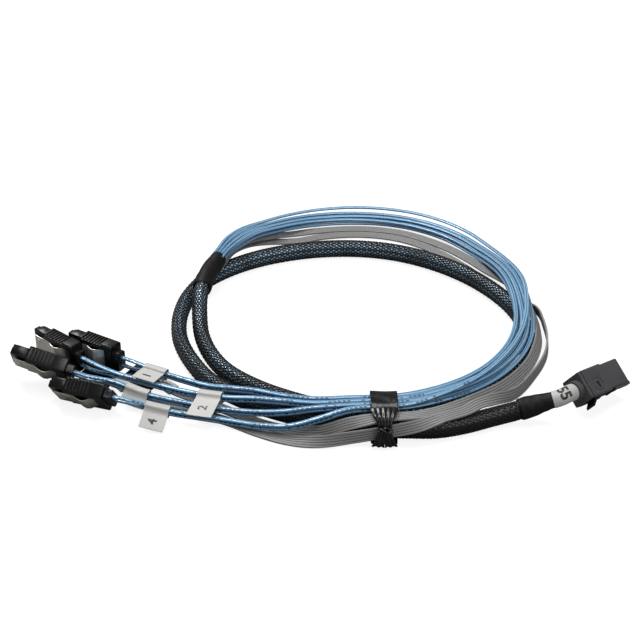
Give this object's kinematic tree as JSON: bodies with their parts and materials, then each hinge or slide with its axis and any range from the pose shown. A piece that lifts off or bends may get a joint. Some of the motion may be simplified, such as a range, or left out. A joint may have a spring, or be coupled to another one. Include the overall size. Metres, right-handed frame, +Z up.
{
  "type": "mini sas breakout cable",
  "caption": "Internal cable from one mini SAS HD plug through a coiled braided sleeve to SATA connectors with latch clips and sideband connectors.",
  "frame": {"origin": "centre of the box on the surface that the coil lies on", "axes": "+X along the coil's longest side from the SATA connectors towards the plug, +Z up from the surface"},
  "size_m": [0.2599, 0.2019, 0.0197],
  "materials": {
    "plug_black": "fine satin grain",
    "connector_black": "satin",
    "shrink_black": "matt, slightly wrinkled",
    "tie_black": "glossy film",
    "braid_black": "open monofilament braid over blue cords",
    "twinax_blue": "glossy film with dark dashes",
    "ribbon_grey": "satin ribbed",
    "clip_steel": "bright rolled spring steel",
    "circuit_board": "solder mask",
    "terminal_gold": "plated",
    "label_white": "matt film"
  },
  "bodies": {
    "harness": {"plug_housing": "plug_black", "plug_rear_cover": "plug_black", "paddle_card_upper": "circuit_board", "paddle_card_lower": "circuit_board", "termination_block": "connector_black", "plug_heat_shrink": "shrink_black", "plug_label": "label_white", "braided_sleeve": "braid_black", "breakout_heat_shrink": "shrink_black", "twinax_1_lower": "twinax_blue", "twinax_1_upper": "twinax_blue", "twinax_2_lower": "twinax_blue", "twinax_2_upper": "twinax_blue", "twinax_3_lower": "twinax_blue", "twinax_3_upper": "twinax_blue", "twinax_4_lower": "twinax_blue", "twinax_4_upper": "twinax_blue", "ribbon_1": "ribbon_grey", "ribbon_2": "ribbon_grey", "ribbon_label_1": "label_white", "ribbon_label_2": "label_white", "sata_label_1": "label_white", "sata_label_2": "label_white", "sata_label_3": "label_white", "sata_label_4": "label_white", "wrapped_tie": "tie_black", "sata_1_nose": "connector_black", "sata_1_grip": "connector_black", "sata_2_nose": "connector_black", "sata_2_grip": "connector_black", "sata_3_nose": "connector_black", "sata_3_grip": "connector_black", "sata_4_nose": "connector_black", "sata_4_grip": "connector_black", "sideband_1_housing": "connector_black", "sideband_1_terminal_1": "terminal_gold", "sideband_1_terminal_2": "terminal_gold", "sideband_1_terminal_3": "terminal_gold", "sideband_1_terminal_4": "terminal_gold", "sideband_2_housing": "connector_black", "sideband_2_terminal_1": "terminal_gold", "sideband_2_terminal_2": "terminal_gold", "sideband_2_terminal_3": "terminal_gold", "sideband_2_terminal_4": "terminal_gold"},
    "plug_latch_lever": {"plug_latch": "connector_black"},
    "sata_1_clip": {"sata_1_latch_clip": "clip_steel"},
    "sata_2_clip": {"sata_2_latch_clip": "clip_steel"},
    "sata_3_clip": {"sata_3_latch_clip": "clip_steel"},
    "sata_4_clip": {"sata_4_latch_clip": "clip_steel"}
  },
  "joints": [
    {"name": "plug_latch_press", "type": "hinge", "parent": "harness", "child": "plug_latch_lever", "pos_m": [0.11528, -0.07141, 0.00722], "axis": [0.4472, -0.4113, 0.7943], "range_deg": [-5, 0], "stiffness_Nm_per_rad": 0.02},
    {"name": "sata_1_clip_press", "type": "hinge", "parent": "harness", "child": "sata_1_clip", "pos_m": [-0.09094, -0.07606, 0.00622], "axis": [0.1875, 0.5571, -0.809], "range_deg": [0, 1.8], "stiffness_Nm_per_rad": 0.03},
    {"name": "sata_2_clip_press", "type": "hinge", "parent": "harness", "child": "sata_2_clip", "pos_m": [-0.11035, -0.05738, 0.00735], "axis": [-0.0679, 0.6153, -0.7853], "range_deg": [0, 1.8], "stiffness_Nm_per_rad": 0.03},
    {"name": "sata_3_clip_press", "type": "hinge", "parent": "harness", "child": "sata_3_clip", "pos_m": [-0.10807, -0.0454, 0.0074], "axis": [0, 0, -1], "range_deg": [0, 1.8], "stiffness_Nm_per_rad": 0.03},
    {"name": "sata_4_clip_press", "type": "hinge", "parent": "harness", "child": "sata_4_clip", "pos_m": [-0.09111, -0.04628, 0.0074], "axis": [0, 0, -1], "range_deg": [0, 1.8], "stiffness_Nm_per_rad": 0.03}
  ]
}
